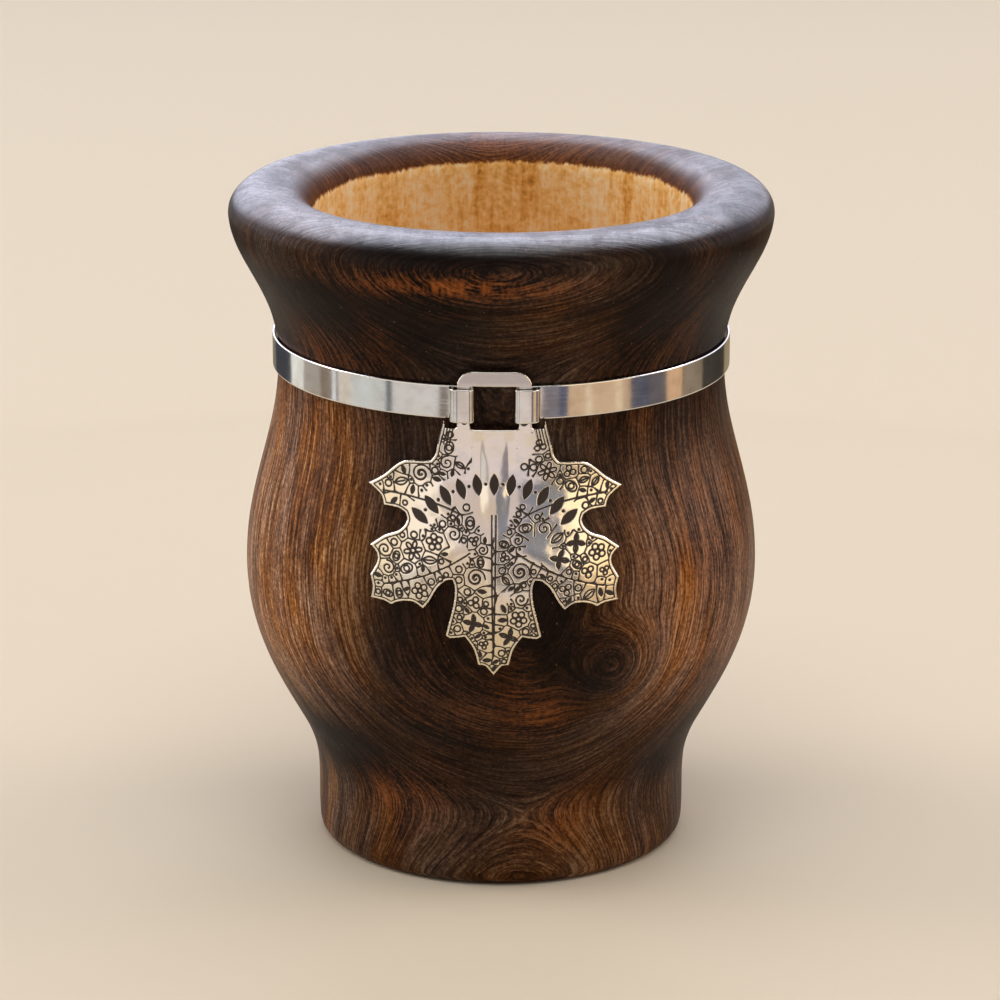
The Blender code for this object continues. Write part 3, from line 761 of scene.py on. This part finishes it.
def build_leaf_badge(profile, leg_front):
    leg_back = leg_front - PLATE_THICKNESS
    loops = [smooth_chain(loop, OUTLINE_STEP, closed=True) for loop in front_loops("leaf_badge")]
    window_low = min(point.y for point in loops[1])
    edge_tree = distance_tree([point for loop in loops for point in loop])
    outside = smooth_chain(profile, PROFILE_STEP)
    crest = max(range(len(outside)), key=lambda index: outside[index].y)
    heights = np.array([row.y for row in outside[:crest]])
    radii = np.array([row.x for row in outside[:crest]])

    def back_radius(height):
        over_wood = np.interp(height, heights, radii) + BELLY_STANDOFF
        return (leg_back + over_wood + np.hypot(leg_back - over_wood, STANDOFF_BLEND)) / 2

    def bent(flat, radius):
        angle = np.arcsin(flat[:, 0] / radius)
        return np.column_stack((radius * np.sin(angle), -radius * np.cos(angle), flat[:, 1]))

    flat, faces, rim = sheet_triangles(loops, FRONT_SPACING, edge_tree)
    inset = np.array([edge_tree.find((*spot, 0))[2] for spot in flat])
    inset[rim] = 0.0
    down = window_low - flat[:, 1]
    cut = engraved_lines(np.column_stack((flat[:, 0], down)) * 1000, inset * 1000)
    relief = plate_relief(flat[:, 0], down)
    short = np.clip(1 - inset / PLATE_EDGE_ROUND, 0, 1)
    relief -= PLATE_EDGE_ROUND * (1 - np.sqrt(1 - short ** 2))
    relief -= CUT_DEPTH * ease(-cut, -0.02, 0.10)
    front = bent(flat, back_radius(flat[:, 1]) + PLATE_THICKNESS + relief)

    flat_back, faces_back, rim_back = sheet_triangles(loops, BACK_SPACING, edge_tree)
    back = bent(flat_back, back_radius(flat_back[:, 1])
                + plate_relief(flat_back[:, 0], window_low - flat_back[:, 1]))

    faces_back = faces_back + len(front)
    walls = []
    start = 0
    for loop in loops:
        for index in range(len(loop)):
            one, two = start + index, start + (index + 1) % len(loop)
            walls.append((rim[one], rim[two], len(front) + rim_back[two], len(front) + rim_back[one]))
        start += len(loop)
    mesh = bpy.data.meshes.new("engraved_leaf")
    mesh.from_pydata(np.vstack((front, back)).tolist(), [],
                     faces.tolist() + faces_back[:, ::-1].tolist() + walls)
    face_outwards(mesh)
    far = np.full(len(back), NOWHERE_NEAR_MM)
    store_field(mesh, "cut_mm", np.concatenate((cut, far)))
    store_field(mesh, "inset_mm", np.concatenate((inset * 1000, far)))
    mesh.materials.append(pressed_engraved_sheet())
    return place_piece("engraved_leaf", mesh, "badge", "leaf_badge", BADGE_SHARP)


def face_outwards(mesh):
    shape = bmesh.new()
    shape.from_mesh(mesh)
    bmesh.ops.recalc_face_normals(shape, faces=shape.faces[:])
    shape.to_mesh(mesh)
    shape.free()


# Engraving


def ring_line(centre, radius, squash=1.0, turn=0.0):
    angles = np.linspace(0, math.tau, 17)
    across, along = radius * np.cos(angles), radius * squash * np.sin(angles)
    return np.column_stack((centre[0] + across * math.cos(turn) - along * math.sin(turn),
                            centre[1] + across * math.sin(turn) + along * math.cos(turn)))


def spiral_line(centre, radius, turn, hand):
    shares = np.linspace(0, 1, 26)
    reach = radius * (1 - 0.86 * shares)
    angles = turn + hand * shares * math.tau * 1.45
    return np.column_stack((centre[0] + reach * np.cos(angles), centre[1] + reach * np.sin(angles)))


def leaflet_lines(centre, radius, turn, plump=0.42):
    """A pointed oval with its midline."""
    shares = np.linspace(-1, 1, 13)
    width = plump * radius * (1 - shares ** 2)
    rotate = np.array(((math.cos(turn), math.sin(turn)), (-math.sin(turn), math.cos(turn))))
    sides = [np.column_stack((radius * shares, side * width)) @ rotate + centre for side in (-1, 1)]
    midline = np.column_stack((radius * np.linspace(-1.0, 0.55, 6), np.zeros(6))) @ rotate + centre
    return sides + [midline]


def circlet(centre, reach, count, radius, turn, squash=1.0):
    """Small rings in a circle; squashed ones point outwards."""
    return [ring_line(centre + reach * np.array((math.cos(a), math.sin(a))), radius, squash,
                      a * (squash < 1))
            for a in turn + np.arange(count) * math.tau / count]


def motif(centre, radius, draw):
    """One small ornament inside a circle, as lines."""
    centre = np.array(centre)
    turn = draw.uniform(0, math.tau)
    hand = draw.choice((-1, 1))
    if radius > 1.25:
        kind = draw.randrange(4)
        if kind == 0:
            return (circlet(centre, 0.62 * radius, 6, 0.34 * radius, turn, 0.62)
                    + [ring_line(centre, 0.24 * radius)])
        if kind == 1:
            return [spiral_line(centre, radius, turn, hand),
                    spiral_line(centre, 0.72 * radius, turn + math.pi, hand)]
        if kind == 2:
            side = 0.50 * radius * np.array((math.cos(turn), math.sin(turn)))
            return (leaflet_lines(centre + side, 0.48 * radius, turn)
                    + leaflet_lines(centre - side, 0.48 * radius, turn)
                    + leaflet_lines(centre + side[::-1] * (-1, 1), 0.45 * radius, turn + 1.3)
                    + leaflet_lines(centre + side[::-1] * (1, -1), 0.45 * radius, turn - 1.3))
        return circlet(centre, 0.55 * radius, 5, 0.30 * radius, turn) + [ring_line(centre, 0.22 * radius)]
    if radius > 0.75:
        kind = draw.randrange(4)
        if kind == 0:
            return [spiral_line(centre, radius, turn, hand)]
        if kind == 1:
            return leaflet_lines(centre, radius, turn, 0.5)
        if kind == 2:
            return [ring_line(centre, 0.9 * radius, 0.7, turn), ring_line(centre, 0.4 * radius)]
        return circlet(centre, 0.5 * radius, 3, 0.38 * radius, turn)
    if radius > 0.42:
        if draw.random() < 0.6:
            return [ring_line(centre, 0.8 * radius)]
        return leaflet_lines(centre, radius, turn)
    return [ring_line(centre, 0.35 * radius)]


def vein_lines():
    """Curved veins from the leaf's heart into its lobes, and the midrib's two sides."""
    root = np.array(VEIN_ROOT_MM)
    lines = []
    for tip, bow, start in VEINS_MM:
        along = np.array(tip) - root
        aside = np.array((-along[1], along[0])) / np.linalg.norm(along)
        shares = np.linspace(start, 1, 24)[:, None]
        lines.append(root + along * shares + aside * bow * np.sin(math.pi * shares))
    half_width = MIDRIB_HALF_MM * (1 - np.linspace(0, 1, 20) ** 2)
    down = np.linspace(MIDRIB_TOP_MM, MIDRIB_END_MM, 20)
    return lines + [np.column_stack((side * half_width, down)) for side in (-1, 1)]


def engraved_lines(places, inset):
    """How far each place lies outside the nearest cut line, in millimetres; below 0 is in a cut."""
    draw = random.Random(ENGRAVING_SEED)
    lines = vein_lines()
    bare = [(ARCH_RADIUS_MM * math.sin(a), ARCH_TOP_MM + ARCH_RADIUS_MM * (1 - math.cos(a)), ARCH_ROOM_MM)
            for a in np.linspace(-ARCH_REACH, ARCH_REACH, 24)]
    bare += BARE_SPOTS_MM
    taken = [(*point, VEIN_ROOM_MM) for line in lines for point in thick_samples(line, VEIN_ROOM_MM)] + bare
    tree = distance_tree(places[::3])
    discs = []
    for radius, tries in ORNAMENTS_MM:
        for _ in range(tries):
            spot = (draw.uniform(*ENGRAVED_ACROSS_MM), draw.uniform(*ENGRAVED_DOWN_MM))
            _, index, gap = tree.find((*spot, 0))
            if gap > OFF_PLATE_MM or inset[index * 3] < radius + ORNAMENT_MARGIN_MM:
                continue
            near = np.array(taken)
            room = near[:, 2] + radius + CELL_GAP_MM
            if (np.hypot(near[:, 0] - spot[0], near[:, 1] - spot[1]) < room).any():
                continue
            taken.append((*spot, radius))
            discs.append((*spot, radius))
            lines += motif(spot, radius, draw)
    cut = line_distance(places, lines, CUT_HALF_MM)
    plain = np.min([outside_disc(places, *disc) for disc in bare], axis=0)
    cells = np.maximum(cell_lines(places, discs), -plain)
    in_leaf = (inset > BORDER_INSET_MM) & (places[:, 1] > CELLS_TOP_MM)
    cut = np.minimum(cut, np.where(in_leaf, cells, NOWHERE_NEAR_MM))
    hatching = [np.array(((side * u, HATCH_TOP_MM), (side * (u + HATCH_SLANT_MM), HATCH_END_MM)))
                for side in (-1, 1) for u in np.arange(*HATCH_REACH_MM, HATCH_STEP_MM)]
    cut = np.minimum(cut, line_distance(places, hatching, FINE_CUT_HALF_MM))
    border = np.abs(inset - BORDER_INSET_MM) - FINE_CUT_HALF_MM
    in_lobes = (np.abs(places[:, 0]) > LOBES_ASIDE_MM) & (places[:, 1] > LOBES_DOWN_MM)
    cut = np.minimum(cut, np.where(in_lobes | (places[:, 1] > TIP_DOWN_MM), border, NOWHERE_NEAR_MM))
    return np.minimum(cut, arched_leaflets(places))


def outside_disc(places, x, y, radius):
    return np.hypot(places[:, 0] - x, places[:, 1] - y) - radius


def cell_lines(places, discs):
    """How far each place lies outside the lines that part neighbouring discs."""
    nearest = np.full(len(places), NO_DISC_MM)
    second = nearest.copy()
    for disc in discs:
        gap = outside_disc(places, *disc)
        second = np.minimum(second, np.maximum(nearest, gap))
        nearest = np.minimum(nearest, gap)
    return (second - nearest) / 2 - FINE_CUT_HALF_MM


def thick_samples(line, step):
    """Points a step apart along a line of straight pieces."""
    lengths = np.concatenate(((0,), np.cumsum(np.linalg.norm(np.diff(line, axis=0), axis=1))))
    marks = np.linspace(0, lengths[-1], max(2, int(lengths[-1] / step) + 1))
    return np.column_stack([np.interp(marks, lengths, line[:, axis]) for axis in (0, 1)])


def line_distance(places, lines, half_width):
    tree = distance_tree(np.vstack([thick_samples(line, CUT_SAMPLE_MM) for line in lines]))
    return np.array([tree.find((*place, 0))[2] for place in places]) - half_width


def arched_leaflets(places):
    """A plain arched row of dark pointed leaflets with dots between them."""
    centre = np.array((0, ARCH_TOP_MM + ARCH_RADIUS_MM))
    nearest = np.full(len(places), NOWHERE_NEAR_MM)
    for index in range(2 * ARCH_LEAFLETS - 1):
        angle = ARCH_REACH * (index / (ARCH_LEAFLETS - 1) - 1)
        out = np.array((math.sin(angle), -math.cos(angle)))
        from_middle = places - (centre + ARCH_RADIUS_MM * out)
        along = from_middle @ out
        aside = np.abs(from_middle @ np.array((-out[1], out[0])))
        if index % 2:
            shape = np.hypot(along, aside) - DOT_RADIUS_MM
        else:
            share = np.clip(along / LEAFLET_HALF_LENGTH_MM, -1, 1)
            shape = aside - LEAFLET_HALF_WIDTH_MM * (1 - share ** 2)
            shape = np.maximum(shape, np.abs(along) - LEAFLET_HALF_LENGTH_MM)
        nearest = np.minimum(nearest, shape)
    return nearest


def pressed_engraved_sheet():
    """Nickel silver sheet, pressed, engraved, blackened in the cuts and buffed.

    The eye gets crisp dark lines, bright metal that is warmer out on the lobes and warm and bright low on
    the leaf as a painted highlight, a painted highlight along the cut edge, faintly pink where it was buffed
    most, and soft dents that bend the reflections.
    """
    material, add, shader = new_material("pressed and engraved nickel silver")
    place = object_millimetres(add)
    cut, inset = stored_fields(add, "cut_mm", "inset_mm")
    uneven = add("TexNoise", {"Vector": place, "Scale": 2.4, "Detail": 2.0})
    ragged = add("Math", (uneven, 0.09, cut), operation="MULTIPLY_ADD")
    black = add("MapRange", (ragged, 0.075, 0.02))

    # Low on the leaf the metal is warmer and brighter as a painted highlight, and out on its lobes it is
    # warmer too
    tarnish = add("TexNoise", {"Vector": place, "Scale": 0.17, "Detail": 3.0})
    axes = add("SeparateXYZ", (place,)).outputs
    lower = add("MapRange", (axes["Z"], 68.0, 46.0))
    outward = add("Math", (axes["X"],), operation="ABSOLUTE")
    outer = add("MapRange", (outward, 7.0, 16.0))
    worn = add("Math", (lower, outer), operation="MAXIMUM")
    worn = add("Math", (worn, 0.55, tarnish), operation="MULTIPLY_ADD")
    colour = add("ValToRGB", (worn,),
                 ((0.32, "#d8d7da"), (0.46, "#ece6e3"), (0.66, "#eae2d4"), (0.98, "#e6d8bc")))

    # The frame's bar is duller, the cut edge brighter as a painted edge highlight, and the engraving black
    frame_bar = add("MapRange", (axes["Z"], 80.5, 82.5))
    rim = add("MapRange", (inset, 0.34, 0.10, 0.0, 0.5))
    for share, over in ((frame_bar, "#bdb9b6"), (rim, "#e9e0cf"), (black, "#2a1a0e")):
        colour = add("Mix", {"Factor": share, 6: colour, 7: linear(over)}, data_type="RGBA").outputs[2]
    metal = add("Math", (1.0, black), operation="SUBTRACT")
    rough = add("Mix", {"Factor": black, 2: 0.17, 3: 0.6})
    dents = add("TexNoise", {"Vector": place, "Scale": 0.28, "Detail": 2.0})
    soft = add("Bump", {"Strength": 0.6, "Distance": 0.0002, "Height": dents})
    fill_inputs(shader, {"Base Color": colour, "Metallic": metal, "Roughness": rough, "Normal": soft})
    return material


# Studio

# Edges of the reflection cards, as distance and height
CARD_FOOT, SIDE_EDGE, FRONT_MIDDLE, FRONT_EDGE = (0.25, 0.0), (0.25, 0.05), (0.25, 0.055), (0.25, 0.17)
SKY_FOOT, SKY_EDGE, SKY_CROWN = (1.2, 0.12), (1.2, 0.9), (0.25, 1.7)
CARD_ARC = 3
STRIP_STRENGTH = 1.25
# Cards that only reflections see, side by side in two rows: where the row starts, in degrees round
# from the badge's side, and each card's name, end and colour
SIDE_CARDS = (
    (-180, (("back_left", -157, "#8a7458"), ("stone_left", -148, "#6b6a60"),
            ("navy_left", -121.6, "#262b36"), ("white_left", -108.6, "#e2e1dc"),
            ("grey_left", -94, "#9a9188"), ("taupe_left", -86, "#7a6c60"),
            ("edge_left", -83.4, "#dfe0e0"), ("line_left", -82, "#3a3f4c"),
            ("beige_left", -73.4, "#cfc6bb"), ("light_left", -53.4, "#c3c6c6"),
            ("bar_left", -50.4, "#3a3f4c"), ("soft_left", -26.8, "#c8c4c2"),
            ("seam_left", -22.8, "#6f6862"))),
    (20, (("grey_right", 28, "#6f6a72"), ("navy_right", 32.4, "#3c4460"),
          ("gold_right", 41, "#c4a585"), ("pale_right", 44, "#d8c2a4"),
          ("amber_right", 56, "#c4a585"), ("cream_right", 60, "#d6bc9c"),
          ("tan_right", 64.6, "#b89a7c"), ("dark_right", 75, "#3f4357"),
          ("smoke_right", 86.5, "#504b50"), ("honey_right", 97.5, "#c9a27c"),
          ("line_right", 98.9, "#6a5138"), ("ash_right", 115, "#80705f"),
          ("black_right", 145, "#211c17"), ("back_right", 180, "#8a7a60"))),
)
# Further cards: name, degrees, distance and height of the lower and the upper edge, colour, strength
FREE_CARDS = (
    ("front_low", -22.8, 20, CARD_FOOT, FRONT_MIDDLE, "#dccfc9", 1.1),
    ("front_high", -22.8, 8, FRONT_MIDDLE, FRONT_EDGE, "#cdbdb6", 1.0),
    ("front_blue", 8, 28, FRONT_MIDDLE, FRONT_EDGE, "#8d93a3", 0.5),
    ("front_left", -70, -22.8, FRONT_MIDDLE, FRONT_EDGE, "#cfc6bc", 1.8),
    ("front_right", 28, 66, FRONT_MIDDLE, FRONT_EDGE, "#cbb798", 2.6),
    ("sky_right", 100, 185, SKY_FOOT, SKY_EDGE, "#dfe0f4", 1.9),
    ("sky_left", 185, 260, SKY_FOOT, SKY_EDGE, "#dfe0f4", 3.0),
    ("sky_top", 90, 270, SKY_EDGE, SKY_CROWN, "#e4e6f8", 9.5),
)
LAMP_AIM = Vector((0, 0, 0.06))
# Lamps: place, width and height, watts, colour
LAMPS = (
    ("back_top", (0.1, 1.6, 1.3), (1.5, 0.9), 9, "#e6ecff"),
    ("left", (-1.4, 0.2, 0.6), (0.8, 1.2), 10, "#fff8f0"),
    ("right", (1.4, 0.3, 0.6), (0.8, 1.2), 9, "#fff0e2"),
    ("top", (0.0, -0.4, 1.45), (1.0, 1.0), 8, "#ffffff"),
)


def studio_piece(name, corners, faces, finish_name, finish):
    mesh = bpy.data.meshes.new(name)
    mesh.from_pydata(corners, [], faces)
    material, _, shader = new_material(finish_name)
    fill_inputs(shader, finish)
    mesh.materials.append(material)
    return new_object(name, mesh)


def add_reflection_card(name, start, end, lower, upper, colour, strength):
    steps = max(2, round((end - start) / CARD_ARC))
    angles = [math.radians(start + (end - start) * step / steps) for step in range(steps + 1)]
    corners = [(distance * math.sin(angle), -distance * math.cos(angle), height)
               for angle in angles for distance, height in (lower, upper)]
    faces = [(2 * i, 2 * i + 2, 2 * i + 3, 2 * i + 1) for i in range(steps)]
    card = studio_piece("card_" + name, corners, faces, "card " + name, {
        "Base Color": (0, 0, 0, 1), "Emission Color": linear(colour), "Emission Strength": strength})
    card.visible_camera = False
    card.visible_diffuse = False
    card.visible_shadow = False
    card.visible_transmission = False


def build_floor():
    floor = studio_piece("floor", [(-4, -4, 0), (4, -4, 0), (4, 4, 0), (-4, 4, 0)], [(0, 1, 2, 3)],
                         "pale studio floor", {"Base Color": linear("#e6d8c2"), "Roughness": 0.9,
                                               "Specular IOR Level": 0.1})


def light_studio():
    world = bpy.data.worlds.new("pale studio")
    bpy.context.scene.world = world
    world.use_nodes = True
    fill_inputs(world.node_tree.nodes["Background"], {"Color": linear("#f4f1ee"), "Strength": 0.34})
    for name, place, size, power, colour in LAMPS:
        data = bpy.data.lights.new(name, "AREA")
        data.shape = "RECTANGLE"
        data.size, data.size_y = size
        data.energy = power
        data.color = linear(colour)[:3]
        lamp = new_object(name, data)
        lamp.location = place
        lamp.rotation_euler = (LAMP_AIM - Vector(place)).to_track_quat("-Z", "Y").to_euler()


def build_camera():
    data = bpy.data.cameras.new("photograph")
    data.sensor_width = SENSOR_MM
    data.lens = FOCAL_PIXELS / PHOTO_PIXELS * SENSOR_MM
    camera = new_object("photograph", data)
    camera.location = (CAMERA_DISTANCE * math.sin(CAMERA_AZIMUTH),
                       -CAMERA_DISTANCE * math.cos(CAMERA_AZIMUTH), CAMERA_HEIGHT)
    yaw = CAMERA_AZIMUTH + math.atan((CUP_AXIS_PIXEL - PHOTO_PIXELS / 2) / FOCAL_PIXELS)
    aim = Euler((0, 0, yaw)).to_matrix() @ Euler((math.pi / 2 - CAMERA_PITCH, 0, 0)).to_matrix()
    camera.rotation_euler = (aim @ Euler((0, 0, CAMERA_ROLL)).to_matrix()).to_euler()
    bpy.context.scene.camera = camera


def build_scene():
    profile = turned_profile("wooden_body")
    leg_front = legs_front_radius()
    build_turned_cup(profile)
    build_waist_strip(leg_front)
    build_leaf_badge(profile, leg_front)
    build_floor()
    for start, cards in SIDE_CARDS:
        for name, end, colour in cards:
            add_reflection_card(name, start, end, CARD_FOOT, SIDE_EDGE, colour, STRIP_STRENGTH)
            start = end
    for card in FREE_CARDS:
        add_reflection_card(*card)
    light_studio()
    build_camera()
    bpy.context.scene.view_settings.view_transform = "Standard"


build_scene()
